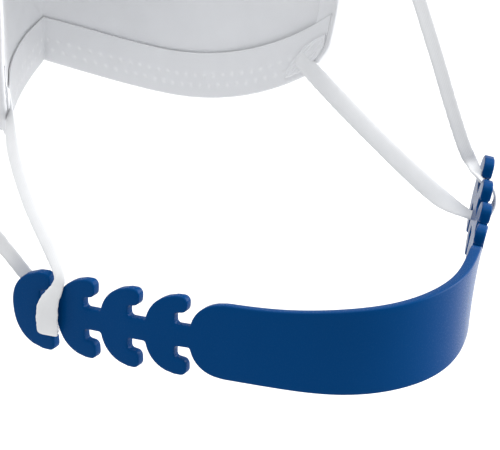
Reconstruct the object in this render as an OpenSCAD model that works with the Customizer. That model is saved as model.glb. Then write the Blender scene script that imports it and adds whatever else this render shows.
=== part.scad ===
// Pleated face mask worn with an ear-saver strap.
// A moulded band crosses the back of the head. Each of its ends is a ladder of
// four crescent hooks, and the mask's flat elastic ear loops lie round the
// outermost stem of each ladder instead of round the ears.
// Millimetres. Origin at the middle of the band's inner face, where it bears on
// the nape. +X to the wearer's right, +Y forward to the mask, +Z up.

/* [Strap band] */
// thickness of the moulded strap
strap_t = 2.5; // [1.5:0.1:3.5]
// height of the band and of the hooks
band_h = 18; // [14:0.5:24]
// bend radius of the inner face behind the head
nape_r = 28; // [22:0.5:60]
// half angle of that bend
nape_a = 34; // [20:1:50]
// bend radius of the inner face at the shoulders of the band
shoulder_r = 54.5; // [40:0.5:90]
// heading of the straight ends, measured from the X axis
tail_a = 54.5; // [40:0.5:80]
// outward lean of the top edge
lean = 5; // [0:0.5:12]

/* [Hook ladders] */
// hooks on each ladder
hook_n = 4; // [2:1:6]
// distance from one hook to the next
hook_pitch = 11.62; // [9:0.01:14]
// distance from the band's straight start to the first hook's datum
hook_first = 18.4; // [14:0.1:24]
// height of the stem that joins the hooks
stem_h = 5; // [3:0.1:7]
// radius of a hook's rounded back
back_r = 5.5; // [4:0.1:7]
// radius of a hook's tip
tip_r = 1.85; // [1:0.05:2.5]
// height of the pocket under each arm
pocket_h = 2.55; // [1.5:0.05:4]

/* [Ear loops] */
// width of the elastic
loop_w = 3.2; // [2.5:0.1:6]
// thickness of the elastic
loop_t = 1; // [0.6:0.1:1.4]
// clearance between elastic and stem
loop_gap = 0.3; // [0.2:0.05:0.6]

/* [Mask] */
// plan radius of the outer chin ply at the front of the mask
front_r = 18; // [12:0.5:30]
// forward position of that radius's centre
front_y = 164.4; // [120:0.1:200]
// half angle of the front curve, and so of the V of the cheeks
front_a = 67; // [50:1:80]
// thickness of one ply
ply_t = 0.45; // [0.3:0.05:0.8]
// air gap between neighbouring plies
ply_gap = 0.1; // [0.05:0.05:0.3]
// how far the upper panel stands outside the chin panel
tier_step = 2.75; // [2:0.05:5]
// radius of the lower rim in side view
rim_r = 85; // [60:1:140]
// height of the pleat edge of the upper panel
pleat_lo = 44; // [34:1:54]
// height of the hidden upper edge of the chin panel
pleat_hi = 62; // [54:1:72]
// backward lean of the part over the nose
nose_lean = 24; // [0:1:40]
// width of the hem along the lower rim
hem_low_w = 9; // [6:0.5:14]
// width of the hem along the top edge
hem_top_w = 10; // [6:0.5:14]
// width of the binding tape down each side
tape_w = 5; // [3:0.5:8]
// width of the nose wire
wire_w = 4; // [2:0.5:6]

/* [Hidden] */
$fn = 96;
half_h = band_h / 2;
h_up = half_h * cos(lean);
nape_ro = nape_r + strap_t;
shoulder_ro = shoulder_r + strap_t;
r_jump = shoulder_r - nape_r;
shoulder_c = [-r_jump * sin(nape_a), nape_r + r_jump * cos(nape_a)];
tail_p = [
    shoulder_c[0] + shoulder_ro * sin(tail_a),
    shoulder_c[1] - shoulder_ro * cos(tail_a)
];
back_ds = 1.8;
spine_ds = 5.8;
tip_ds = 6.85;
pocket_r = pocket_h / 2;
pocket_lo = stem_h / 2 + 0.05;
pocket_hi = pocket_lo + pocket_h;
slot_x = hook_first + (hook_n - 1) * hook_pitch - 8.05;
loop_z = stem_h / 2 + loop_gap + loop_t / 2;
side_lo = [114.8, 10];
side_hi = [92, 101];
side_l = norm(side_hi - side_lo);
side_u = (side_hi - side_lo) / side_l;
side_n = [side_u[1], -side_u[0]];
top_p = [182, 121.1];
top_u = (top_p - side_hi) / norm(top_p - side_hi);
top_n = [-top_u[1], top_u[0]];
rim_c = [160, 96.5];
fold_p = [0, 182, 88];
ply_step = ply_t + ply_gap;
lap = 0.5;
crease_lap = 0.12;

// ---------- strap ----------

// Slanted section of the band, outer face at radius ro at mid height.
module band_section(ro) {
    skew = h_up * tan(lean);
    wide = strap_t / cos(lean);
    polygon([
        [ro - wide - skew, -h_up],
        [ro - skew, -h_up],
        [ro + skew, h_up],
        [ro - wide + skew, h_up]
    ]);
}

// Sweep of the section about a centre, between two headings.
module band_arc(c, ro, a0, a1) {
    translate([c[0], c[1], 0])
        rotate([0, 0, a0 - 90])
            rotate_extrude(angle = a1 - a0)
                band_section(ro);
}

// Children drawn flat, x along the tail and y up, become a leaning plate.
module on_tail() {
    translate([tail_p[0], tail_p[1], 0])
        rotate([0, 0, tail_a])
            rotate([lean, 0, 0])
                translate([0, strap_t, 0])
                    rotate([90, 0, 0])
                        children();
}

module half_strap_end() {
    on_tail()
        linear_extrude(strap_t)
            intersection() {
                circle(half_h);
                translate([-lap, -half_h])
                    square([half_h + lap, band_h]);
            }
}

module strap_band() {
    color([0.01, 0.18, 0.38]) {
        band_arc([0, nape_r], nape_ro, -nape_a - 1, nape_a + 1);
        for (m = [0, 1])
            mirror([m, 0, 0]) {
                band_arc(shoulder_c, shoulder_ro, nape_a, tail_a);
                half_strap_end();
            }
    }
}

// Upper half of one hook, datum at the origin, arms toward -x.
module hook_half() {
    difference() {
        union() {
            intersection() {
                translate([-back_ds - back_r + 3.9 - 0.3, half_h - back_r])
                    circle(back_r);
                translate([-spine_ds, 0])
                    square([spine_ds + back_ds, half_h]);
            }
            translate([-spine_ds, 0])
                square([spine_ds + back_ds, half_h - back_r]);
            translate([-tip_ds, half_h - tip_r])
                circle(tip_r);
            translate([-tip_ds, pocket_hi])
                square([tip_ds - 3.7, half_h - pocket_hi]);
            translate([-tip_ds - 0.8, pocket_hi])
                square([2, half_h - tip_r - pocket_hi]);
        }
        translate([-spine_ds - pocket_r, pocket_lo + pocket_r])
            circle(pocket_r);
        translate([-spine_ds - 6, pocket_lo])
            square([6 - pocket_r, pocket_h]);
    }
}

module ladder_profile() {
    reach = hook_first + (hook_n - 1) * hook_pitch;
    difference() {
        union() {
            translate([0, -stem_h / 2])
                square([reach, stem_h]);
            for (k = [0 : hook_n - 1], m = [0, 1])
                translate([hook_first + k * hook_pitch, 0])
                    mirror([0, m])
                        hook_half();
        }
        circle(half_h);
    }
}

module ladder() {
    color([0.01, 0.18, 0.38])
        on_tail()
            linear_extrude(strap_t)
                ladder_profile();
}

module right_ladder() {
    ladder();
}

module left_ladder() {
    mirror([1, 0, 0])
        ladder();
}

// ---------- ear loops ----------

// One flat run of elastic from p to q, its width as upright as the run allows.
module run(p, q) {
    d = q - p;
    flat = norm([d[0], d[1]]);
    translate(p)
        rotate([0, -atan2(d[2], flat), atan2(d[1], d[0])])
            translate([-loop_t / 2, -loop_t / 2, -loop_w / 2])
                cube([norm(d) + loop_t, loop_t, loop_w]);
}

module strand(route) {
    for (i = [0 : len(route) - 2])
        run(route[i], route[i + 1]);
}

// The elastic's turn over the stem's outer face, open toward the head.
module bight() {
    x0 = slot_x - loop_w / 2;
    z_out = loop_z + loop_t / 2;
    translate([tail_p[0], tail_p[1], 0])
        rotate([0, 0, tail_a])
            rotate([lean, 0, 0]) {
                translate([x0, -loop_gap - loop_t, -z_out])
                    cube([loop_w, loop_t, 2 * z_out]);
                for (m = [0, 1])
                    mirror([0, 0, m])
                        translate([x0, -loop_gap - loop_t, loop_z - loop_t / 2])
                            cube([loop_w, strap_t + 4, loop_t]);
            }
}

right_up = [
    [54.5, 56.3, loop_z], [54.9, 56.4, 9], [54.4, 57.2, 16.6],
    [53.2, 60.7, 27.5], [51.6, 65.5, 41], [42, 94.3, 97]
];
right_down = [
    [54.5, 56.3, -loop_z], [52.6, 64.2, 1], [48.7, 79.1, 9.3],
    [41.6, 107, 26.2], [40.2, 112.9, 30]
];
left_up = [
    [-54.5, 56.3, loop_z], [-54.4, 57.2, 7.5], [-53.2, 62, 10.6],
    [-50, 79.3, 16.2], [-45.5, 99.5, 22.5], [-40.2, 112.9, 30]
];
left_down = [
    [-54.5, 56.3, -loop_z], [-56.2, 59.4, 2], [-57.3, 60.8, 8],
    [-60.5, 61.6, 13], [-63.6, 63.4, 19], [-62.6, 71, 43],
    [-55, 83, 74], [-42, 94.3, 97]
];

module right_ear_loop() {
    color([0.8, 0.82, 0.83]) {
        bight();
        strand(right_up);
        strand(right_down);
    }
}

module left_ear_loop() {
    color([0.8, 0.82, 0.83]) {
        mirror([1, 0, 0])
            bight();
        strand(left_up);
        strand(left_down);
    }
}

// ---------- mask ----------

// Upright wall of the V between the offsets w0 and w1 from its datum surface.
module wall(w0, w1) {
    translate([0, front_y, 0]) {
        rotate([0, 0, 90 - front_a])
            rotate_extrude(angle = 2 * front_a)
                translate([front_r + w0, 0])
                    square([w1 - w0, 140]);
        rotate([0, 0, 90 - front_a])
            translate([front_r + w0, -100, 0])
                cube([w1 - w0, 100 + lap, 140]);
        rotate([0, 0, 90 + front_a])
            translate([front_r + w0, -lap, 0])
                cube([w1 - w0, 100 + lap, 140]);
    }
}

// Children drawn in side view, x forward and y up, swept right across the mask.
module sideways() {
    rotate([90, 0, 90])
        linear_extrude(160, center = true)
            children();
}

// The part of the children below a crease that rises toward the front.
module below_fold() {
    intersection() {
        children();
        translate(fold_p)
            rotate([nose_lean / 2, 0, 0])
                translate([-100, -150, -200])
                    cube([200, 200, 200 + crease_lap]);
    }
}

// The wall below the crease plus its mirror image above, leaning back.
module fold_back() {
    b = nose_lean / 2;
    below_fold()
        children();
    translate(fold_p)
        mirror([0, -sin(b), cos(b)])
            translate(-fold_p)
                below_fold()
                    children();
}

// Side-view strip along the side edge, from e0 to e1 forward of it.
module side_strip(e0, e1) {
    translate(side_lo)
        rotate(atan2(side_u[1], side_u[0]))
            translate([-20, -e1])
                square([side_l + 60, e1 - e0]);
}

// Side-view area below the top edge, lowered by drop.
module under_top(drop) {
    translate(side_hi - drop * top_n)
        rotate(atan2(top_u[1], top_u[0]))
            translate([-60, -160])
                square([200, 160]);
}

module over_rim(rise) {
    translate(rim_c)
        circle(rim_r - rise);
}

// Area of the upper panel with its two legs down the side edges.
module upper_area() {
    intersection() {
        over_rim(0);
        under_top(0);
        side_strip(0, 200);
        union() {
            side_strip(0, 10);
            translate([60, pleat_lo])
                square([160, 100]);
        }
    }
}

module chin_area() {
    intersection() {
        over_rim(0);
        side_strip(6.5, 200);
        translate([60, 0])
            square([160, pleat_hi]);
    }
}

module upper_layer(w0, w1) {
    intersection() {
        fold_back()
            wall(w0, w1);
        sideways()
            children();
    }
}

module chin_layer(w0, w1) {
    intersection() {
        wall(w0, w1);
        sideways()
            children();
    }
}

module one_side(s) {
    intersection() {
        children();
        translate([s > 0 ? 0 : -100, 60, 0])
            cube([100, 160, 160]);
    }
}

module upper_ply(i) {
    w1 = tier_step - i * ply_step;
    upper_layer(w1 - ply_t, w1)
        upper_area();
}

module chin_ply(i) {
    w1 = -i * ply_step;
    chin_layer(w1 - ply_t, w1)
        chin_area();
}

module mask_outer_ply() {
    color([0.84, 0.85, 0.86])
        upper_ply(0);
}

module mask_filter_ply() {
    color([0.9, 0.91, 0.92])
        upper_ply(1);
}

module mask_inner_ply() {
    color([0.85, 0.86, 0.86])
        upper_ply(2);
}

module chin_outer_ply() {
    color([0.84, 0.85, 0.86])
        chin_ply(0);
}

module chin_filter_ply() {
    color([0.9, 0.91, 0.92])
        chin_ply(1);
}

module chin_inner_ply() {
    color([0.85, 0.86, 0.86])
        chin_ply(2);
}

module lower_hem() {
    w1 = -3 * ply_step;
    color([0.84, 0.85, 0.86])
        chin_layer(w1 - ply_t, w1)
            intersection() {
                chin_area();
                difference() {
                    over_rim(0);
                    over_rim(hem_low_w);
                }
            }
}

module top_hem() {
    color([0.84, 0.85, 0.86])
        upper_layer(0, ply_t)
            intersection() {
                upper_area();
                difference() {
                    under_top(0);
                    under_top(hem_top_w);
                }
            }
}

module nose_wire() {
    color([0.75, 0.76, 0.78])
        upper_layer(ply_t + ply_gap, tier_step - 2 * ply_step - ply_t - ply_gap)
            difference() {
                intersection() {
                    under_top(3);
                    translate([145, 60])
                        square([80, 100]);
                }
                under_top(3 + wire_w);
            }
}

module side_tape(s) {
    lo = tier_step - 2 * ply_step - ply_t - ply_gap;
    hi = tier_step + ply_gap;
    color([0.86, 0.87, 0.88])
        one_side(s)
            difference() {
                upper_layer(lo - 0.5, hi + 0.5)
                    intersection() {
                        over_rim(0);
                        under_top(0);
                        side_strip(-1.2, tape_w);
                    }
                upper_layer(lo, hi)
                    side_strip(-0.1, tape_w + 1);
            }
}

module right_side_tape() {
    side_tape(1);
}

module left_side_tape() {
    side_tape(-1);
}

module lower_weld(s) {
    color([0.82, 0.83, 0.85])
        one_side(s)
            upper_layer(-0.1, 0.5)
                intersection() {
                    over_rim(1.5);
                    side_strip(0, 5);
                    square([200, 38]);
                }
}

module upper_weld(s) {
    color([0.82, 0.83, 0.85])
        one_side(s)
            upper_layer(-0.7, -0.1)
                difference() {
                    intersection() {
                        under_top(1.5);
                        side_strip(0, 5);
                    }
                    under_top(8.5);
                }
}

module right_lower_weld() {
    lower_weld(1);
}

module left_lower_weld() {
    lower_weld(-1);
}

module right_upper_weld() {
    upper_weld(1);
}

module left_upper_weld() {
    upper_weld(-1);
}

strap_band();
left_ladder();
right_ladder();
left_ear_loop();
right_ear_loop();
mask_outer_ply();
mask_filter_ply();
mask_inner_ply();
top_hem();
nose_wire();
left_side_tape();
right_side_tape();
left_upper_weld();
right_upper_weld();
left_lower_weld();
right_lower_weld();
chin_outer_ply();
chin_filter_ply();
chin_inner_ply();
lower_hem();
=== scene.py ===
# %% [markdown]
# # A face mask worn with an ear-saver strap
#
# The object is a pleated face mask whose elastic ear loops don't go round the ears.
# They hook onto a moulded plastic strap behind the head. The strap is a plain band
# with a ladder of four crescent hooks at each end.
#
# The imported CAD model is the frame: it has the sizes, the bodies and the joints.
# This script makes the visible pieces in the same place, in metres, and gives each
# one a body to ride on.

import bpy
import numpy as np
from mathutils import Matrix, Vector, geometry


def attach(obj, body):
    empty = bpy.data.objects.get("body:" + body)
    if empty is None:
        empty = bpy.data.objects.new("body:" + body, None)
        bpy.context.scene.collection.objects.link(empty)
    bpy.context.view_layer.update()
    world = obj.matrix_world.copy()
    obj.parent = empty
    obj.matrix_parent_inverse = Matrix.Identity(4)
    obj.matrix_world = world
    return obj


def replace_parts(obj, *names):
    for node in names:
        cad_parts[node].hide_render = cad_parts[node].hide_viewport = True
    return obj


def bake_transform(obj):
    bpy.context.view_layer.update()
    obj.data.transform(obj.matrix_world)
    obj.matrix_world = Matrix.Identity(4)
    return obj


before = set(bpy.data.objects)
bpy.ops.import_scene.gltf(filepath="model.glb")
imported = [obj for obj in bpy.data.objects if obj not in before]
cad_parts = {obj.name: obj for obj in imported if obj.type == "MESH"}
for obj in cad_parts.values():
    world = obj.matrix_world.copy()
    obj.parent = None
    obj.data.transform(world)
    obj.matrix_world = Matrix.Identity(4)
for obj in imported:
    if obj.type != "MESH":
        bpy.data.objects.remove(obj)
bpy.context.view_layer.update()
MM = 0.001

# %% [markdown]
# ## From arrays to meshes
#
# Every piece below is a surface of two parameters, worked out in millimetres as one
# numpy array. Two helpers turn such arrays into meshes. A `slab` has two grids of
# the same size, the outer and the inner skin, and closes the four edges between
# them. A `tube` is a closed ring carried along a path, with a cap at each end.


# %% Mesh helpers
def grid_faces(rows, columns, first=0, flip=False):
    """Quads of a rows x columns grid whose vertices count along the columns first."""
    i, j = np.meshgrid(np.arange(rows - 1), np.arange(columns - 1), indexing="ij")
    a = first + (i * columns + j).ravel()
    quads = np.stack([a, a + columns, a + columns + 1, a + 1], 1)
    return quads[:, ::-1] if flip else quads


def new_piece(name, points, faces, material, uv=None, smooth=True):
    """A mesh object at the origin from points in millimetres and lists of faces."""
    mesh = bpy.data.meshes.new(name)
    mesh.from_pydata((np.asarray(points) * MM).tolist(), [], faces)
    mesh.polygons.foreach_set("use_smooth", np.full(len(mesh.polygons), smooth))
    if uv is not None:
        corner = np.empty(len(mesh.loops), np.int32)
        mesh.loops.foreach_get("vertex_index", corner)
        layer = mesh.uv_layers.new(name="cloth")
        layer.data.foreach_set("uv", (uv[corner] * MM).astype(np.float32).ravel())
    mesh.materials.append(material)
    mesh.update()
    piece = bpy.data.objects.new(name, mesh)
    bpy.context.collection.objects.link(piece)
    print(f"{name}: {len(mesh.vertices)} vertices, {len(mesh.polygons)} faces")
    return piece


def slab(name, outer, inner, material, uv):
    """Closed sheet between two grids shaped (rows, columns, 3), outer facing out."""
    rows, columns, _ = outer.shape
    n = rows * columns
    at = np.arange(n).reshape(rows, columns)
    edges = [at[:, 0], at[-1, :], at[::-1, -1], at[0, ::-1]]
    sides = [np.stack([e[1:], e[1:] + n, e[:-1] + n, e[:-1]], 1) for e in edges]
    faces = np.concatenate(
        [grid_faces(rows, columns), grid_faces(rows, columns, n, True), *sides]
    )
    points = np.concatenate([outer.reshape(-1, 3), inner.reshape(-1, 3)])
    flat = uv.reshape(-1, 2)
    return new_piece(
        name, points, faces.tolist(), material, np.concatenate([flat, flat])
    )


def tube(name, rings, material, uv):
    """Closed tube through rings shaped (stations, ring points, 3), with end caps."""
    stations, around, _ = rings.shape
    i, j = np.meshgrid(np.arange(stations - 1), np.arange(around), indexing="ij")
    a = (i * around + j).ravel()
    b = (i * around + (j + 1) % around).ravel()
    sides = np.stack([a, b, b + around, a + around], 1).tolist()
    caps = [
        list(range(around))[::-1],
        list(range((stations - 1) * around, stations * around)),
    ]
    return new_piece(
        name, rings.reshape(-1, 3), sides + caps, material, uv.reshape(-1, 2)
    )


def smoothstep(x):
    """0 below 0, 1 above 1, and a smooth rise 3x^2 - 2x^3 between."""
    x = np.clip(x, 0.0, 1.0)
    return x * x * (3 - 2 * x)


def summed(values):
    """Running sum that starts at 0, so it is one longer than the values."""
    return np.concatenate([[0], np.cumsum(values)])


def closed_ring(points):
    """Angles of a ring's points, the last one a step short of the first."""
    return np.linspace(0, 2 * np.pi, points + 1)[:-1]


# %% [markdown]
# ## Colours and finishes
#
# Two effects are shared by all the materials, so each is a node group that is built
# once. `mottle` varies a colour slowly and gives a fine grain for a bump. `bond_dots`
# draws the little pressed points of nonwoven cloth on the piece's own UV map, so
# that they follow the cloth.


# %% Node helpers
CIRCLE = 6.2832


def link(tree, a, b):
    """Wire from socket a to socket b."""
    tree.links.new(a, b)


def math_node(tree, operation, a, b=None):
    """Output of a Math node; a and b are numbers or sockets."""
    node = tree.nodes.new("ShaderNodeMath")
    node.operation = operation
    for socket, value in zip(node.inputs, (a, b)):
        if value is None:
            continue
        if isinstance(value, (int, float)):
            socket.default_value = value
        else:
            link(tree, value, socket)
    return node.outputs[0]


def new_group(name, inputs, outputs):
    """A node group, the sockets it is given and the sockets it puts out."""
    group = bpy.data.node_groups.new(name, "ShaderNodeTree")
    for label, kind, value in inputs:
        socket = group.interface.new_socket(
            name=label, in_out="INPUT", socket_type=kind
        )
        socket.default_value = value
    for label, kind in outputs:
        group.interface.new_socket(name=label, in_out="OUTPUT", socket_type=kind)
    return (
        group,
        group.nodes.new("NodeGroupInput").outputs,
        group.nodes.new("NodeGroupOutput").inputs,
    )


# %% Group: slow colour change and fine grain
mottle, given, put = new_group(
    "mottle",
    [
        ("Colour", "NodeSocketColor", (0.5, 0.5, 0.5, 1)),
        ("Spread", "NodeSocketFloat", 0.1),
        ("Patch Scale", "NodeSocketFloat", 60.0),
        ("Grain Scale", "NodeSocketFloat", 2500.0),
    ],
    [("Colour", "NodeSocketColor"), ("Grain", "NodeSocketFloat")],
)
place = mottle.nodes.new("ShaderNodeTexCoord").outputs["Object"]
patch = mottle.nodes.new("ShaderNodeTexNoise")
patch.inputs["Detail"].default_value = 3
grain = mottle.nodes.new("ShaderNodeTexNoise")
grain.inputs["Detail"].default_value = 2
for texture, scale in ((patch, "Patch Scale"), (grain, "Grain Scale")):
    link(mottle, place, texture.inputs["Vector"])
    link(mottle, given[scale], texture.inputs["Scale"])
swing = math_node(mottle, "SUBTRACT", patch.outputs["Fac"], 0.5)
swing = math_node(mottle, "MULTIPLY", swing, given["Spread"])
swing = math_node(mottle, "ADD", swing, 1.0)
tint = mottle.nodes.new("ShaderNodeVectorMath")
tint.operation = "SCALE"
link(mottle, given["Colour"], tint.inputs[0])
link(mottle, swing, tint.inputs["Scale"])
link(mottle, tint.outputs[0], put["Colour"])
link(mottle, grain.outputs["Fac"], put["Grain"])
print("group mottle:", len(mottle.nodes), "nodes")

# %% Group: pressed points of nonwoven cloth
bond_dots, given, put = new_group(
    "bond_dots",
    [("Pitch", "NodeSocketFloat", 0.0013)],
    [("Dots", "NodeSocketFloat"), ("Fibres", "NodeSocketFloat")],
)
cloth = bond_dots.nodes.new("ShaderNodeUVMap")
cloth.uv_map = "cloth"
scaled = bond_dots.nodes.new("ShaderNodeVectorMath")
scaled.operation = "DIVIDE"
link(bond_dots, cloth.outputs[0], scaled.inputs[0])
link(bond_dots, given["Pitch"], scaled.inputs[1])
parts = bond_dots.nodes.new("ShaderNodeSeparateXYZ")
link(bond_dots, scaled.outputs[0], parts.inputs[0])
waves = [
    math_node(
        bond_dots, "COSINE", math_node(bond_dots, "MULTIPLY", parts.outputs[k], CIRCLE)
    )
    for k in (0, 1)
]
lattice = math_node(bond_dots, "MULTIPLY", *waves)
clear = math_node(bond_dots, "SUBTRACT", lattice, 0.35)
clear = math_node(bond_dots, "MAXIMUM", clear, 0.0)
link(bond_dots, clear, put["Dots"])
fibre = bond_dots.nodes.new("ShaderNodeTexNoise")
fibre.inputs["Scale"].default_value = 3.0
fibre.inputs["Detail"].default_value = 4
fibre.inputs["Distortion"].default_value = 1.5
link(bond_dots, scaled.outputs[0], fibre.inputs["Vector"])
link(bond_dots, fibre.outputs["Fac"], put["Fibres"])
print("group bond_dots:", len(bond_dots.nodes), "nodes")


# %% Materials
def new_material(name, roughness, specular):
    """A Principled material and its tree, with the plain numbers set on its sockets."""
    material = bpy.data.materials.new(name)
    material.use_nodes = True
    tree = material.node_tree
    shader = tree.nodes["Principled BSDF"]
    shader.inputs["Roughness"].default_value = roughness
    shader.inputs["Specular IOR Level"].default_value = specular
    return material, tree, shader


def add_mottle(tree, colour, spread, patch_scale, grain_scale):
    """The mottle group in a material's tree, with its five values."""
    node = tree.nodes.new("ShaderNodeGroup")
    node.node_tree = mottle
    node.inputs["Colour"].default_value = (*colour, 1)
    node.inputs["Spread"].default_value = spread
    node.inputs["Patch Scale"].default_value = patch_scale
    node.inputs["Grain Scale"].default_value = grain_scale
    return node


def add_bump(tree, shader, height, strength, distance):
    """Relief from a height socket on the shader's normal."""
    bump = tree.nodes.new("ShaderNodeBump")
    bump.inputs["Strength"].default_value = strength
    bump.inputs["Distance"].default_value = distance
    link(tree, height, bump.inputs["Height"])
    link(tree, bump.outputs[0], shader.inputs["Normal"])


STRAP_BLUE = (0.0, 0.039, 0.147)
CLOTH_WHITE = (0.63, 0.64, 0.66)
# This dot colour is a painted highlight: the weld dots get a brighter white than the
# cloth.
DOT_HIGHLIGHT_WHITE = (0.71, 0.72, 0.735)
WELD_WHITE = (0.64, 0.65, 0.67)
ELASTIC_WHITE = (0.63, 0.64, 0.655)
WIRE_WHITE = (0.8, 0.81, 0.82)
WALE_GAP, COURSE_GAP = 0.0004, 0.0009

plastic, tree, shader = new_material("satin blue plastic", 0.26, 0.035)
skin = add_mottle(tree, STRAP_BLUE, 0.12, 45, 3500)
link(tree, skin.outputs["Colour"], shader.inputs["Base Color"])
add_bump(tree, shader, skin.outputs["Grain"], 0.05, 0.00005)
rough = math_node(tree, "MULTIPLY", skin.outputs["Grain"], 0.16)
rough = math_node(tree, "ADD", rough, 0.18)
link(tree, rough, shader.inputs["Roughness"])

nonwoven, tree, shader = new_material("bonded nonwoven", 0.85, 0.15)
shader.inputs["Sheen Weight"].default_value = 0.15
fluff = add_mottle(tree, CLOTH_WHITE, 0.07, 110, 4000)
dots = tree.nodes.new("ShaderNodeGroup")
dots.node_tree = bond_dots
# Painted highlight: the hems' dimple attribute mixes a brighter white into the cloth at
# every weld dot.
pressed = tree.nodes.new("ShaderNodeAttribute")
pressed.attribute_name = "pressed"
dot_highlight = tree.nodes.new("ShaderNodeMix")
dot_highlight.data_type = "RGBA"
dot_highlight.inputs["B"].default_value = (*DOT_HIGHLIGHT_WHITE, 1)
link(tree, pressed.outputs["Fac"], dot_highlight.inputs["Factor"])
link(tree, fluff.outputs["Colour"], dot_highlight.inputs["A"])
link(tree, dot_highlight.outputs["Result"], shader.inputs["Base Color"])
height = math_node(tree, "MULTIPLY", dots.outputs["Dots"], -1.2)
height = math_node(
    tree, "ADD", height, math_node(tree, "MULTIPLY", dots.outputs["Fibres"], 0.5)
)
add_bump(tree, shader, height, 0.22, 0.0001)

weld_mark, tree, shader = new_material("pressed weld", 0.7, 0.2)
flat = add_mottle(tree, WELD_WHITE, 0.05, 200, 3000)
link(tree, flat.outputs["Colour"], shader.inputs["Base Color"])
add_bump(tree, shader, flat.outputs["Grain"], 0.2, 0.0001)

elastic, tree, shader = new_material("knitted elastic", 0.8, 0.2)
shader.inputs["Sheen Weight"].default_value = 0.25
yarn = add_mottle(tree, ELASTIC_WHITE, 0.06, 300, 5000)
link(tree, yarn.outputs["Colour"], shader.inputs["Base Color"])
along = tree.nodes.new("ShaderNodeUVMap")
along.uv_map = "cloth"
rib = tree.nodes.new("ShaderNodeSeparateXYZ")
link(tree, along.outputs[0], rib.inputs[0])
wale = math_node(
    tree, "COSINE", math_node(tree, "MULTIPLY", rib.outputs[0], CIRCLE / WALE_GAP)
)
course = math_node(
    tree, "COSINE", math_node(tree, "MULTIPLY", rib.outputs[1], CIRCLE / COURSE_GAP)
)
stitch = math_node(tree, "ADD", wale, math_node(tree, "MULTIPLY", course, 0.5))
add_bump(tree, shader, stitch, 0.06, 0.0001)

coated_wire, tree, shader = new_material("coated wire", 0.5, 0.4)
coat = add_mottle(tree, WIRE_WHITE, 0.04, 100, 2000)
link(tree, coat.outputs["Colour"], shader.inputs["Base Color"])
add_bump(tree, shader, coat.outputs["Grain"], 0.1, 0.0001)
print("materials:", len(bpy.data.materials))

# %% [markdown]
# ## How the strap bends
#
# The strap is moulded flat and bends round the head. So it is drawn flat, and every
# point is then carried to its bent place. `bend` takes the distance s along the
# strap from its middle, the height z and the depth below the outer face. The heading
# of the strap is an odd polynomial of s: it turns fast at the nape and is nearly
# straight at the ends. The strap also leans a little, more at one end than at the
# other, because the elastic pulls it up.

# %% Bend of the strap
THICK = 2.5
SPAN = 100.0
STEPS = 2000
CURL = 45.0
LEFT_SHIFT = 0.55


def heading(s):
    """Angle from the X axis: 1.629 u - 0.999 u^3 + 0.28 u^5 with u = s / CURL.

    It is held past 63 mm, and it is a little less at the right end.
    """
    u = np.clip(s / CURL, -1.4, 1.4)
    return (
        1.629 * u - 0.999 * u**3 + 0.28 * u**5 - 0.0942 * smoothstep((s - 40) / 30)
    )


_s = np.linspace(-SPAN, SPAN, 2 * STEPS + 1)
_step = _s[1] - _s[0]
_way = (heading(_s[1:]) + heading(_s[:-1])) / 2
_x, _y = summed(np.cos(_way)), summed(np.sin(_way))
_x = (_x - _x[STEPS]) * _step
_y = (_y - _y[STEPS]) * _step


def bend(s, z, depth):
    """Bent place of a flat point: along the curve, out along its leaning normal."""
    s, z, depth = np.broadcast_arrays(*(np.asarray(a, float) for a in (s, z, depth)))
    s = s - LEFT_SHIFT * smoothstep((-s - 30) / 15)
    u = s / CURL
    right = smoothstep((s - 30) / 40)
    lean = (-0.0717 + 0.1255 * u + 0.0996 * u**2) * (1 - right) + 0.226 * right
    out = z * np.sin(lean) - depth * np.cos(lean)
    past = np.maximum(s - 35, 0)
    rise = 0.111 * u**2 + 0.2975 * u**3 + 0.000944 * past**2 - 0.00000287 * past**3
    rise = rise - 0.28 * np.exp(-(((s + 5) / 34) ** 2))
    x = np.interp(s, _s, _x) + out * np.sin(heading(s))
    y = np.interp(s, _s, _y) - out * np.cos(heading(s)) - THICK
    return np.stack([x, y, rise + z * np.cos(lean) + depth * np.sin(lean)], -1)


print("strap ends:", bend([-93.6, 93.6], 0, 0).round(1).tolist())

# %% [markdown]
# ## The strap's outline
#
# Each hook is a crescent: a rounded back, two arms that curl toward the band and a
# pocket under each arm. The outline is a list of corners, each with its own radius,
# and `rounded` replaces every corner with an arc. The band's end is a quarter of an
# ellipse. The upper outline is mirrored for the lower one and for the other end.

# %% Flat outline
HOOKS = 4
HOOK_PITCH = 11.62
FIRST_HOOK = 56.9
HALF_HEIGHT = 9.0
HALF_STEM = 2.45
BACK_LENGTH = 9.3
BULGE = 2.3
ARM_TIP, POCKET_END = 9.05, 6.0
BAND_END, BAND_HALF = 47.5, 8.3


def bow(height, most, length):
    """Setback of a bowed edge: a superellipse, 0 at mid-height, `length` at the top."""
    ratio = np.clip(np.abs(height) / most, 0, 1)
    return length * (1 - (1 - ratio**BULGE) ** (1 / BULGE))


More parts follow.
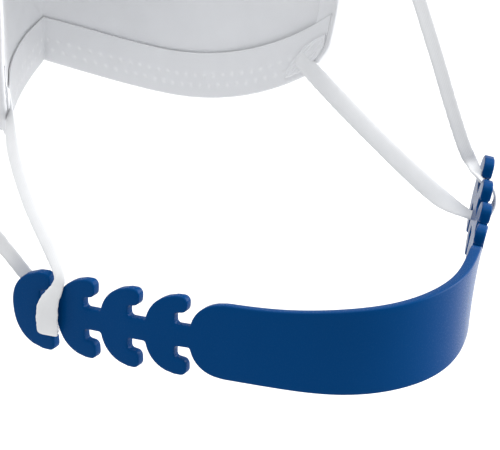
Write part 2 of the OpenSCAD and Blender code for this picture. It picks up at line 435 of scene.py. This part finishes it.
def rounded(corners, steps=9):
    """Polyline with an arc of the given radius at every corner (x, y, radius)."""
    c = np.asarray(corners, float)
    p, r = c[:, :2], c[:, 2]
    before = p[:-2] - p[1:-1]
    after = p[2:] - p[1:-1]
    before /= np.linalg.norm(before, axis=1, keepdims=True)
    after /= np.linalg.norm(after, axis=1, keepdims=True)
    half = np.arccos(np.clip((before * after).sum(1), -1, 1)) / 2
    middle = before + after
    middle /= np.linalg.norm(middle, axis=1, keepdims=True)
    centre = p[1:-1] + middle * (r[1:-1] / np.sin(half))[:, None]
    start = p[1:-1] + before * (r[1:-1] / np.tan(half))[:, None] - centre
    stop = p[1:-1] + after * (r[1:-1] / np.tan(half))[:, None] - centre
    a = np.arctan2(start[:, 1], start[:, 0])
    turn = np.arctan2(stop[:, 1], stop[:, 0]) - a
    turn = (turn + np.pi) % (2 * np.pi) - np.pi
    angle = a[:, None] + turn[:, None] * np.linspace(0, 1, steps)
    arcs = centre[:, None] + r[1:-1, None, None] * np.stack(
        [np.cos(angle), np.sin(angle)], -1
    )
    return np.concatenate([p[:1], arcs.reshape(-1, 2), p[-1:]])


def even(points, gap):
    """The polyline again with points at an even distance along it."""
    run = summed(np.linalg.norm(np.diff(points, axis=0), axis=1))
    at = np.linspace(0, run[-1], int(run[-1] / gap) + 1)
    return np.stack([np.interp(at, run, points[:, k]) for k in (0, 1)], 1)


corners = []
for k in range(HOOKS - 1, -1, -1):
    hook = FIRST_HOOK + k * HOOK_PITCH
    end = k == HOOKS - 1
    half = HALF_HEIGHT + 0.18 * k
    back = hook + (1.8 if end else 1.35)
    heights = np.linspace(0.0 if end else 3.6, half - 0.1, 12)
    if not end:
        corners.append((back - bow(HALF_STEM, half, BACK_LENGTH), HALF_STEM, 0.6))
    corners += [(back - bow(h, half, BACK_LENGTH), h, 0.01) for h in heights]
    corners += [
        (hook - ARM_TIP, half - 0.05, 1.45),
        (hook - 8.9, 5.35, 1.45),
        (hook - POCKET_END, 5.05, 0.7),
        (hook - POCKET_END, HALF_STEM, 0.8),
    ]
corners += [(47.3, HALF_STEM, 0.4), (46.7, 4.1, 0.01)]
heights = np.linspace(4.3, BAND_HALF, 16)
band_end = np.stack([BAND_END - bow(heights, 8.32, 9.0), heights], 1)
top = np.linspace(38, 0, 40)
band_top = np.stack([top, BAND_HALF + 1.1 * np.exp(-((top / 24) ** 3))], 1)
upper_right = np.concatenate([rounded(corners), band_end, band_top])
flip_s, flip_z = np.array([-1, 1]), np.array([1, -1])
upper = np.concatenate([upper_right, (upper_right * flip_s)[::-1][1:]])
outline = even(np.concatenate([upper, (upper * flip_z)[::-1][1:]]), 0.4)[:-1]
print("outline:", len(outline), "points")

# %% [markdown]
# ## The strap as one moulded piece
#
# The edge of the strap is a small rounded profile carried along the outline: it goes
# in from the outer face, round the corner, down the side and round the inner corner.
# The two faces are filled with a triangulation that has rows of points inside, so
# that they bend smoothly. The three CAD nodes of the strap are one piece here, as on
# the real object.

# %% Strap mesh
EDGE_R = 0.42
along_edge = np.roll(outline, -1, 0) - np.roll(outline, 1, 0)
along_edge /= np.linalg.norm(along_edge, axis=1, keepdims=True)
inward = np.stack([-along_edge[:, 1], along_edge[:, 0]], 1)
quarter = np.linspace(0, np.pi / 2, 5)
inset = np.concatenate([1 - np.sin(quarter), (1 - np.sin(quarter))[::-1]]) * EDGE_R
depth = np.concatenate(
    [(1 - np.cos(quarter)) * EDGE_R, THICK - (1 - np.cos(quarter))[::-1] * EDGE_R]
)
rings = outline[None] + inward[None] * inset[:, None, None]
count = len(outline)
edge_points = bend(rings[..., 0], rings[..., 1], depth[:, None]).reshape(-1, 3)
i, j = np.meshgrid(np.arange(len(depth) - 1), np.arange(count), indexing="ij")
a = (i * count + j).ravel()
b = (i * count + (j + 1) % count).ravel()
edge_faces = np.stack([a, a + count, b + count, b], 1).tolist()

face_outline = rings[0]
gs, gz = np.meshgrid(np.arange(-93, 93.5, 1.1), np.arange(-9.0, 9.1, 1.2))
inside = np.stack([gs.ravel(), gz.ravel()], 1)
gap = np.sqrt(((inside[:, None] - face_outline[None]) ** 2).sum(-1)).min(1)
inside = inside[gap > 0.5]
flat_points = np.concatenate([face_outline, inside])
loop_edges = [(k, (k + 1) % count) for k in range(count)]
filled = geometry.delaunay_2d_cdt(
    [Vector(p) for p in flat_points.tolist()], loop_edges, [], 1, 1e-6
)
source = np.array([o[0] if o else -1 for o in filled[3]])
triangles = source[np.array(filled[2])]
used = np.unique(triangles[triangles >= count])
renumber = np.full(len(flat_points), -1)
renumber[:count] = np.arange(count)
renumber[used] = len(edge_points) + np.arange(len(used))
outer_face = renumber[triangles]
last_ring = (len(depth) - 1) * count
to_inner = np.where(outer_face < count, last_ring, len(used))
inner_face = outer_face + to_inner
interior = flat_points[used]
strap_points = np.concatenate(
    [
        edge_points,
        bend(interior[:, 0], interior[:, 1], 0),
        bend(interior[:, 0], interior[:, 1], THICK),
    ]
)
strap = new_piece(
    "ear_saver_strap",
    strap_points,
    edge_faces + outer_face.tolist() + inner_face[:, ::-1].tolist(),
    plastic,
)
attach(strap, "strap")
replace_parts(strap, "strap_band", "left_ladder", "right_ladder")

# %% [markdown]
# ## The shape of the mask
#
# The mask is flat cloth wrapped round the face. `drape` takes a cloth point, the
# distance t from the middle and the height h before the nose part leans back, with
# its distance w outside the CAD surface. In plan the cloth is a V with a round
# front. Above a crease that rises toward the nose, it leans back, and the turn is
# spread over a few millimetres.

# %% Drape of the cloth
WALL_A = np.radians(67)
WALL = 82.23
FRONT_Y, CHIN_Y = 182.4, 186.45
FOLD_A = np.radians(40.2)
CREASE = np.array([182.0, 88.0])
LEAN = np.radians(24)
TURN = 9.0
SIDE_GUESS, FIT_ROUNDS = 90.0, 8
_e = np.linspace(-TURN, 70, 800)
_phi = LEAN * smoothstep((_e + TURN) / (2 * TURN))
_back = summed((np.sin(_phi[1:]) + np.sin(_phi[:-1])) / 2)
_up = summed((np.cos(_phi[1:]) + np.cos(_phi[:-1])) / 2)
_back *= _e[1] - _e[0]
_up = _up * (_e[1] - _e[0]) - TURN


def drape(t, h, w):
    """Arc in front, then straight cheeks; above the crease the height turns back.

    The cheeks keep one plane. Near the rim the arc starts at the fold angle, so the
    chin is a pointed fold, and it opens into a round front higher up.
    """
    t, h, w = np.broadcast_arrays(*(np.asarray(a, float) for a in (t, h, w)))
    fold = 1 - smoothstep((h - 16) / 34)
    first = FOLD_A * fold
    front = FRONT_Y + (CHIN_Y - FRONT_Y) * fold
    radius = (WALL - np.cos(WALL_A) * front) / (1 - np.cos(WALL_A - first))
    run, side = np.abs(t), np.where(t < 0, -1.0, 1.0)
    a = np.minimum(first + run / radius, WALL_A)
    rest = run - radius * (a - first)
    turn = a - first * np.exp(-((run / 1.5) ** 2))
    x = radius * (np.sin(a) - np.sin(first)) + rest * np.cos(a) + w * np.sin(turn)
    x = x * side
    y = front + radius * (np.cos(a) - np.cos(first)) - rest * np.sin(a)
    y = y + w * np.cos(turn)
    base = CREASE[1] + np.tan(LEAN / 2) * (y - CREASE[0])
    e = h - base
    bent = e > -TURN
    y = y - np.where(bent, np.interp(e, _e, _back), 0)
    z = np.where(bent, base + np.interp(e, _e, _up), h)
    return np.stack([x, y, z], -1)


def solve(gap, low, high):
    """Zero of a rising function of an array, by halving the interval 30 times."""
    for _ in range(30):
        middle = (low + high) / 2
        over = gap(middle) > 0
        high = np.where(over, middle, high)
        low = np.where(over, low, middle)
    return (low + high) / 2


def edge_t(h):
    """Distance to the side edge: a slanting line in side view, with a low flare."""

    def beyond(t):
        p = drape(t, h, 0)
        return (114.8 - (p[..., 2] - 10) * 22.8 / 91) - p[..., 1]

    ear = 4.0 * smoothstep((h - 22) / 11) * (1 - smoothstep((h - 36) / 40))
    return ear + solve(beyond, np.full(np.shape(h), 20.0), np.full(np.shape(h), 115.0))


def top_h(t):
    """Height of the top edge, a line in side view that rises to the nose."""

    def beyond(h):
        p = drape(t, h, 0)
        return p[..., 2] - (101 + (p[..., 1] - 92) * 0.2233)

    return solve(beyond, np.full(np.shape(t), 70.0), np.full(np.shape(t), 145.0))


def rim_h(t):
    """Height of the lower rim: a circle of 83 mm in side view."""
    y = drape(t, np.full(np.shape(t), 14.0), 0)[..., 1]
    return 92.43 - np.sqrt(83.02**2 - (y - 157.4) ** 2)


print("top of nose:", drape(0.0, top_h(np.array(0.0)), 0).round(1).tolist())
print("side edge:", edge_t(np.array([30.0, 60.0, 90.0])).round(1).tolist())

# %% [markdown]
# ## Pleats
#
# The upper panel is folded into pleats that open downward on the outside. Its
# section is a path of heights and offsets that goes down, turns up behind itself and
# goes down again. The path is carried across the mask, and near the sides, where the
# pleats are pressed and bound, the folds lie flatter.


# %% Pleated section
def folded(stops, gap=1.3):
    """Zigzag of (start height, end height, offset) layers joined by half circles."""
    out = []
    for k, (start, stop, w) in enumerate(stops):
        n = max(4, int(abs(start - stop) / gap))
        out.append(np.stack([np.linspace(start, stop, n), np.full(n, float(w))], 1))
        if k + 1 < len(stops):
            r = (w - stops[k + 1][2]) / 2
            turn = np.linspace(0, np.pi, 7)[1:-1]
            way = np.sign(stop - start)
            out.append(
                np.stack(
                    [stop + way * r * np.sin(turn), w - r * (1 - np.cos(turn))], 1
                )
            )
    return np.concatenate(out)


def panel(name, section, lift, material, columns=241, half=0.21):
    """Cloth whose section (h, w) is carried across; lift(h, t) moves its edge rows."""
    u = np.linspace(-1, 1, columns)[:, None]
    h0 = section[None, :, 0]
    t = u * SIDE_GUESS + 0 * h0
    for _ in range(FIT_ROUNDS):
        h = lift(h0, t)
        t = u * edge_t(h)
    flatten = 1 - 0.55 * smoothstep((np.abs(u) - 0.55) / 0.45)
    w = 1.1 + (section[None, :, 1] - 1.1) * flatten
    dh = np.gradient(h, axis=1)
    dw = np.gradient(w, axis=1)
    size = np.hypot(dh, dw)
    nh, nw = dw / size, -dh / size
    outer = drape(t, h + nh * half, w + nw * half)
    inner = drape(t, h - nh * half, w - nw * half)
    run = np.concatenate(
        [np.zeros((columns, 1)), np.cumsum(np.hypot(np.diff(h), np.diff(w)), 1)], 1
    )
    return slab(name, outer, inner, material, np.stack([t, run], -1))


def lift_top(h0, t):
    """Rows above 88 mm move with the top edge."""
    return h0 + (top_h(t) - 118) * smoothstep((h0 - 88) / 30)


def lift_rim(h0, t):
    """Rows below 56 mm move with the lower rim."""
    return h0 + (rim_h(t) - 12) * smoothstep((56 - h0) / 44)


upper_section = folded(
    [(118, 79, 4.5), (85, 62, 3.8), (68, 44.5, 3.1), (51, 55, 2.4)]
)
chin_section = folded([(54, 61.5, 0.7), (61.5, 12.6, 0.0)])
mask_panel = panel("upper_panel", upper_section, lift_top, nonwoven)
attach(mask_panel, "mask")
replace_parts(mask_panel, "mask_outer_ply", "mask_filter_ply", "mask_inner_ply")
chin_panel = panel("chin_panel", chin_section, lift_rim, nonwoven)
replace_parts(chin_panel, "chin_outer_ply", "chin_filter_ply", "chin_inner_ply")

# %% [markdown]
# ## Hems, binding and welds
#
# The hem is the outer cloth turned over the edge, with two rows of weld dots. Here
# the dots are real dimples in the band, made by pulling its surface in at points of
# a regular grid. The dimple depth is also stored as an attribute, and the cloth
# material uses it to paint a highlight on each dot.


# %% Hems
INSIDE_ROWS = 30
DOT_ROWS, DOT_GAP, DOT_DEPTH = (2.9, 5.8), 3.2, 0.22
HEM_HALF = 0.16


def hem(name, edge, width, sign, w_in, w_out, material, columns=601):
    """Cloth folded round an edge: up the inside, round it and a little outside."""
    u = np.linspace(-1, 1, columns)[:, None]
    inside_run = np.linspace(width, 0, INSIDE_ROWS)
    turn = np.linspace(0, np.pi, 9)[1:-1]
    mid, r = (w_in + w_out) / 2, (w_out - w_in) / 2
    rise = np.concatenate(
        [inside_run, -0.6 * np.sin(turn), np.linspace(0, 1.5, 4)]
    )
    offset = np.concatenate(
        [np.full(INSIDE_ROWS, w_in), mid - r * np.cos(turn), np.full(4, w_out)]
    )
    t = u * SIDE_GUESS + 0 * rise[None]
    for _ in range(FIT_ROUNDS):
        h = edge(t) + sign * (rise[None] + 0.7)
        t = u * (edge_t(h) - 0.3)
    run = np.broadcast_to(rise[None], h.shape)
    rows = [np.abs(run - d) for d in DOT_ROWS]
    row = np.minimum(*rows)
    phase = np.where(rows[0] < rows[1], t, t + DOT_GAP / 2)
    column = np.abs((phase / DOT_GAP + 0.5) % 1 - 0.5) * DOT_GAP
    dimple = np.exp(-((row / 0.55) ** 2 + (column / 0.6) ** 2) * 1.2)
    dimple = np.where(np.arange(len(rise))[None] < INSIDE_ROWS, dimple, 0)
    w = offset[None] + DOT_DEPTH * dimple
    dh, dw = np.gradient(sign * rise), np.gradient(offset)
    size = np.hypot(dh, dw) + 1e-9
    nh, nw = -(dw / size)[None] * HEM_HALF, (dh / size)[None] * HEM_HALF
    a = drape(t, h + nh, w + nw)
    b = drape(t, h - nh, w - nw)
    uv = np.stack([t, run], -1)
    if sign < 0:
        a, b = b, a
    piece = slab(name, a, b, material, uv)
    # The dimple depth is kept for the cloth material, which paints a highlight on each
    # weld dot.
    pressed = piece.data.attributes.new("pressed", "FLOAT", "POINT")
    pressed.data.foreach_set("value", np.tile(dimple.ravel(), 2).astype(np.float32))
    return piece


lower_hem = hem("lower_hem_fold", rim_h, 12.0, 1, -0.62, 0.45, nonwoven)
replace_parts(lower_hem, "lower_hem")
top_hem = hem("top_hem_fold", top_h, 10.0, -1, 3.1, 5.1, nonwoven)
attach(top_hem, "mask")
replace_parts(top_hem, "top_hem")
for piece in (chin_panel, lower_hem):
    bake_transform(piece)

# %% [markdown]
# ## The nose wire
#
# A flat coated wire lies in the top hem. It is a strip that follows the same cloth
# surface, so it stays inside the hem's fold.

# %% Nose wire
u = np.linspace(-46, 46, 121)[:, None]
ring = closed_ring(12)[None]
h = top_h(u + 0 * ring) - 5 + 1.9 * np.cos(ring)
w = 3.75 + 0.3 * np.sin(ring)
wire_rings = drape(u + 0 * ring, h, w)
wire = tube(
    "nose_wire_strip",
    wire_rings,
    coated_wire,
    np.stack([u + 0 * ring, h], -1),
)
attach(wire, "mask")
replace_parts(wire, "nose_wire")

# %% [markdown]
# ## Binding tape and welds at the sides
#
# Each side edge is bound with a narrow tape folded round all the layers. The tape's
# section is a flat loop that is carried up the side edge. A patch on the inside at
# each corner is where the elastic is pressed onto the mask.


# %% Side binding
CORNER_GUESS = 75.0


def binding(name, side):
    """Tape round the side edge: a slim closed ring carried from rim to top edge."""
    v = np.linspace(0, 1, 90)[:, None]
    ring = closed_ring(40)[None]
    reach = 2.9 * np.sign(np.cos(ring)) * np.abs(np.cos(ring)) ** 0.35
    thick = 1.75 * np.sign(np.sin(ring)) * np.abs(np.sin(ring)) ** 0.45
    t = np.full((len(v), ring.size), CORNER_GUESS)
    for _ in range(FIT_ROUNDS):
        low, high = rim_h(t[:, :1]) + 0.9, top_h(t[:, :1]) + 0.4
        h = low + (high - low) * v + 0 * ring
        t = edge_t(h) - 2.1 + 0 * ring
    crimp = 0.12 * np.cos(h * 2 * np.pi / 2.2) * (np.abs(np.cos(ring)) < 0.75)
    centre = 1.15 + 0.5 * smoothstep((h - 45) / 40)
    grow = 1.0 + 0.25 * smoothstep((h - 40) / 15)
    w = centre + thick * grow + crimp * np.sign(np.sin(ring))
    p = drape(side * (t - reach), h, w)
    if side > 0:
        p = p[:, ::-1]
    piece = tube(name, p, nonwoven, np.stack([h, reach * 3 + 0 * h], -1))
    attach(piece, "mask")
    return piece


for side, word in ((-1, "left"), (1, "right")):
    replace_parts(binding(f"{word}_binding", side), f"{word}_side_tape")


# %% Weld patches
def weld(name, side, upper):
    """Rounded patch with a pressed grid of dots, on the inside of a corner."""
    a = np.linspace(-1, 1, 41)[:, None] + np.zeros((1, 41))
    b = np.linspace(-1, 1, 41)[None] + np.zeros((41, 1))
    along = 3.0 * a * np.sqrt(1 - 0.175 * b**2)
    up = 3.6 * b * np.sqrt(1 - 0.175 * a**2)
    t = np.full_like(a, CORNER_GUESS)
    for _ in range(FIT_ROUNDS):
        h = (top_h(t) - 6 if upper else rim_h(t) + 5) + up
        t = edge_t(h) - 3.4 + along
    dots = np.cos(along * 2 * np.pi / 1.5) * np.cos(up * 2 * np.pi / 1.5)
    edge = smoothstep((1 - np.maximum(np.abs(a), np.abs(b))) * 6)
    base = -0.55 if upper else -1.05
    inner = drape(side * t, h, base - (0.3 - 0.1 * dots) * edge)
    outer = drape(side * t, h, base + 0.35)
    if side < 0:
        inner, outer = inner[::-1], outer[::-1]
    uv = np.stack([t, h], -1)
    piece = slab(name, outer[:, ::-1], inner[:, ::-1], weld_mark, uv)
    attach(piece, "mask")
    return piece


for side, word in ((-1, "left"), (1, "right")):
    for upper, place in ((True, "upper"), (False, "lower")):
        patch = weld(f"{word}_{place}_patch", side, upper)
        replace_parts(patch, f"{word}_{place}_weld")

# %% [markdown]
# ## The elastic ear loops
#
# Each loop is one flat elastic from the upper corner of the mask, through the outer
# slot, over the outside of the stem and back to the lower corner. It is a ribbon
# section carried along a smooth curve through a few points. On the left the two
# strands cross behind the outermost hook. The section turns on the way: it lies flat
# on the cloth at both ends and flat on the stem in the middle.


# %% Smooth curves
def spline(points, per=14):
    """Smooth curve through the points: each stretch is a cubic whose end slopes come
    from the neighbours on either side."""
    p = np.asarray(points, float)
    p = np.concatenate([[2 * p[0] - p[1]], p, [2 * p[-1] - p[-2]]])
    f = np.linspace(0, 1, per, endpoint=False)[None, :, None]
    p0, p1, p2, p3 = (p[k : len(p) - 3 + k][:, None] for k in range(4))
    out = 0.5 * (
        2 * p1
        + (p2 - p0) * f
        + (2 * p0 - 5 * p1 + 4 * p2 - p3) * f**2
        + (3 * p1 - p0 - 3 * p2 + p3) * f**3
    )
    return np.concatenate([out.reshape(-1, p.shape[1]), p[-2:-1]])


def ribbon(name, route, wide, width, material):
    """Flat section carried along the route; wide is the direction of its width."""
    path = spline(route)
    across = spline(wide)
    size = spline(width)
    ahead = np.gradient(path, axis=0)
    ahead /= np.linalg.norm(ahead, axis=1, keepdims=True)
    across -= ahead * (across * ahead).sum(1, keepdims=True)
    across /= np.linalg.norm(across, axis=1, keepdims=True)
    face = np.cross(ahead, across)
    a = closed_ring(24)
    x = np.sign(np.cos(a)) * np.abs(np.cos(a)) ** 0.7
    y = np.sign(np.sin(a)) * np.abs(np.sin(a)) ** 0.8
    run = summed(np.linalg.norm(np.diff(path, axis=0), axis=1))
    ripple = 1 + 0.018 * np.sin(run * 2.3) + 0.012 * np.sin(run * 5.1 + 1)
    curl = size[:, 2:3] * (x[None] ** 2 - 0.5)
    rings = (
        path[:, None]
        + across[:, None] * (x[None] * size[:, :1] / 2 * ripple[:, None])[..., None]
        + face[:, None] * (y[None] * size[:, 1:2] / 2 + curl)[..., None]
    )
    uv = np.stack([x[None] * size[:, :1] / 2, run[:, None] + 0 * x[None]], -1)
    print(f"{name}: {run[-1]:.0f} mm of elastic")
    return tube(name, rings, material, uv)


# %% Shape of the elastic round the outer stems
# Rows of (distance along the strap, height, depth, width of the elastic).
RIGHT_TURN = np.array(
    [
        [82.6, 6.0, 3.2, 3.0], [83.0, 4.6, 1.3, 3.0], [83.4, 3.9, -0.9, 3.6],
        [83.6, 2.2, -2.0, 4.4], [83.7, 0, -2.4, 4.6], [83.8, -2.4, -2.0, 4.4],
        [83.8, -4.0, -1.0, 3.9], [83.8, -4.5, 0.4, 3.5], [83.8, -4.6, 2.0, 3.5],
        [83.6, -4.6, 3.8, 4.1],
    ]
)
LEFT_TURN = np.array(
    [
        [-84.3, -4.4, 5.0, 2.8], [-84.1, -4.9, 2.6, 3.4], [-84.0, -5.0, 0.6, 4.2],
        [-83.6, -4.5, -0.95, 5.0], [-83.1, -2.4, -1.5, 5.8], [-82.85, 0, -1.6, 5.8],
        [-82.3, 2.4, -1.6, 5.4], [-81.4, 4.6, -1.2, 4.2], [-80.4, 6.7, -0.5, 3.2],
        [-80.7, 9.3, 1.2, 2.8],
    ]
)


# The ends lie flat on the mask. Seen from the side, the elastic runs from the line
# between the two stems up toward the mask, and it stretches on the way, in metres.
END_SIZE = [4.4, 0.8, 0.0]


def loop(name, turn, first_route, last_route, first_wide, last_wide, wides):
    """One elastic: first route, the turn round the stem, last route."""
    s, z, depth, size = turn.T
    tail = bend(s + 1, 0, 0) - bend(s - 1, 0, 0)
    sizes = np.stack([size, np.full(len(s), 1.0), np.full(len(s), 0.05)], 1)
    first, last = ([w, 0.9, 0.25] for w in wides)
    n, m = len(first_route) - 1, len(last_route) - 1
    piece = ribbon(
        name,
        np.concatenate([first_route, bend(s, z, depth), last_route]),
        np.concatenate([first_wide, tail, last_wide]),
        np.concatenate([[END_SIZE], [first] * n, sizes, [last] * m, [END_SIZE]]),
        elastic,
    )
    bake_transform(piece)
    return piece


# %% The right loop
right_loop = loop(
    "right_elastic",
    RIGHT_TURN,
    np.array(
        [
            [41.9, 95.6, 98.5], [43.4, 91, 92], [47.7, 77, 66], [50.8, 65.5, 41],
            [52.9, 60.9, 27.5], [55.2, 58.3, 17.4], [57.3, 57.8, 12.7],
        ]
    ),
    np.array(
        [
            [52.7, 64.2, 2.4], [49.1, 78.8, 9.0], [45.1, 94.5, 17.4],
            [41.8, 107.2, 24.6], [40.2, 113.0, 28.0],
        ]
    ),
    np.array(
        [
            [0.31, -0.74, 0.59], [0.6, -0.6, 0.45], [0.89, -0.355, 0.28],
            [0.89, -0.355, 0.28], [0.89, -0.355, 0.28], [0.89, -0.3, 0.3],
            [0.9, 0.1, 0.2],
        ]
    ),
    np.array(
        [
            [0.758, 0.1, 0.5], [0.758, -0.131, 0.635], [0.758, -0.131, 0.635],
            [0.5, -0.3, 0.75], [0.2, -0.469, 0.85],
        ]
    ),
    (3.4, 4.9),
)

# %% The left loop
left_loop = loop(
    "left_elastic",
    LEFT_TURN,
    np.array(
        [
            [-41.9, 95.6, 98.5], [-44.5, 92.5, 93], [-54.5, 83, 72],
            [-62.6, 71, 43], [-64.6, 70.5, 26], [-63.9, 70, 16.6],
            [-61.6, 68.5, 11.6], [-60.0, 67, 8.8], [-57.6, 65.5, 4.8],
            [-54.8, 62, 0.4],
        ]
    ),
    np.array(
        [
            [-52.5, 62, 10.8], [-50, 79.3, 16.2], [-45.5, 99, 22.8],
            [-40.0, 113.4, 30.6],
        ]
    ),
    np.array(
        [
            [-0.31, -0.74, 0.59], [0.1, -0.7, 0.7], [0.787, -0.162, 0.598],
            [0.787, -0.162, 0.598], [0.787, -0.162, 0.598], [0.787, -0.162, 0.598],
            [0.787, -0.162, 0.598], [0.787, -0.162, 0.598], [0.787, -0.3, 0.5],
            [0.7, -0.7, 0.1],
        ]
    ),
    np.array(
        [
            [0.7, -0.65, 0.2], [0.88, -0.32, 0.35], [0.7, -0.35, 0.6],
            [-0.2, -0.469, 0.85],
        ]
    ),
    (3.3, 3.5),
)
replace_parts(right_loop, "right_ear_loop")
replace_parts(left_loop, "left_ear_loop")

# %% [markdown]
# ## Camera, floor and light
#
# The camera is behind the wearer's left shoulder and looks down a little, with a
# long lens. A wide white floor and a bright, even sky give the plain studio look.
# One large soft light comes from above and two weaker ones shape the bend.

# %% Camera
scene = bpy.context.scene
YAW, DIP, ROLL = 0.4917, 0.3648, -0.0142
SENSOR_MM, LENS_MM = 36.0, 159.3612
eye = np.array([-230.5, -364.9, 191.4])
look = np.array(
    [np.sin(YAW) * np.cos(DIP), np.cos(YAW) * np.cos(DIP), -np.sin(DIP)]
)
level = np.array([np.cos(YAW), -np.sin(YAW), 0.0])
above = np.cross(level, look)
right = level * np.cos(ROLL) + above * np.sin(ROLL)
upward = -level * np.sin(ROLL) + above * np.cos(ROLL)
camera_data = bpy.data.cameras.new("camera")
camera_data.sensor_width = SENSOR_MM
camera_data.lens = LENS_MM
camera_data.clip_start = 0.01
camera_data.clip_end = 50.0
camera = bpy.data.objects.new("camera", camera_data)
bpy.context.collection.objects.link(camera)
turn = np.eye(4)
turn[:3, 0], turn[:3, 1], turn[:3, 2], turn[:3, 3] = right, upward, -look, eye * MM
camera.matrix_world = Matrix(turn.tolist())
scene.camera = camera
print("camera at", (eye * MM).round(3).tolist())

# %% Floor
floor_material, tree, shader = new_material("white floor", 0.9, 0.1)
pale = add_mottle(tree, (0.75, 0.75, 0.75), 0.01, 3, 50)
link(tree, pale.outputs["Colour"], shader.inputs["Base Color"])
FLOOR_HALF, FLOOR_DEPTH = 6000.0, 140.0
square = np.array([[-1, -1, 0], [1, -1, 0], [1, 1, 0], [-1, 1, 0]])
floor = new_piece(
    "floor",
    square * FLOOR_HALF - [0, 0, FLOOR_DEPTH],
    [[0, 1, 2, 3]],
    floor_material,
    smooth=False,
)


# %% Lights
SKY_LIGHT, SKY_SEEN = 0.77, 1.0


def soft_light(name, place, target, size, power):
    """Square area light at a place in metres, turned to a target."""
    data = bpy.data.lights.new(name, "AREA")
    data.shape = "SQUARE"
    data.size = size
    data.energy = power
    lamp = bpy.data.objects.new(name, data)
    bpy.context.collection.objects.link(lamp)
    lamp.location = place
    aim = Vector(target) - Vector(place)
    lamp.rotation_euler = aim.to_track_quat("-Z", "Y").to_euler()


soft_light("above", (0.1, 0.1, 1.2), (0, 0.06, 0.03), 1.2, 12.0)
soft_light("right side", (0.95, -0.1, 0.35), (0, 0.05, 0.0), 0.9, 17.0)
soft_light("left front", (-0.9, 0.9, 0.4), (0, 0.1, 0.05), 0.9, 4.0)
world = bpy.data.worlds.new("studio")
world.use_nodes = True
sky = world.node_tree.nodes["Background"]
sky.inputs["Color"].default_value = (1, 1, 1, 1)
seen = world.node_tree.nodes.new("ShaderNodeLightPath").outputs["Is Camera Ray"]
bright = math_node(world.node_tree, "MULTIPLY", seen, SKY_SEEN - SKY_LIGHT)
bright = math_node(world.node_tree, "ADD", bright, SKY_LIGHT)
link(world.node_tree, bright, sky.inputs["Strength"])
scene.world = world
scene.view_settings.view_transform = "Standard"
print("lights:", len(bpy.data.lights))
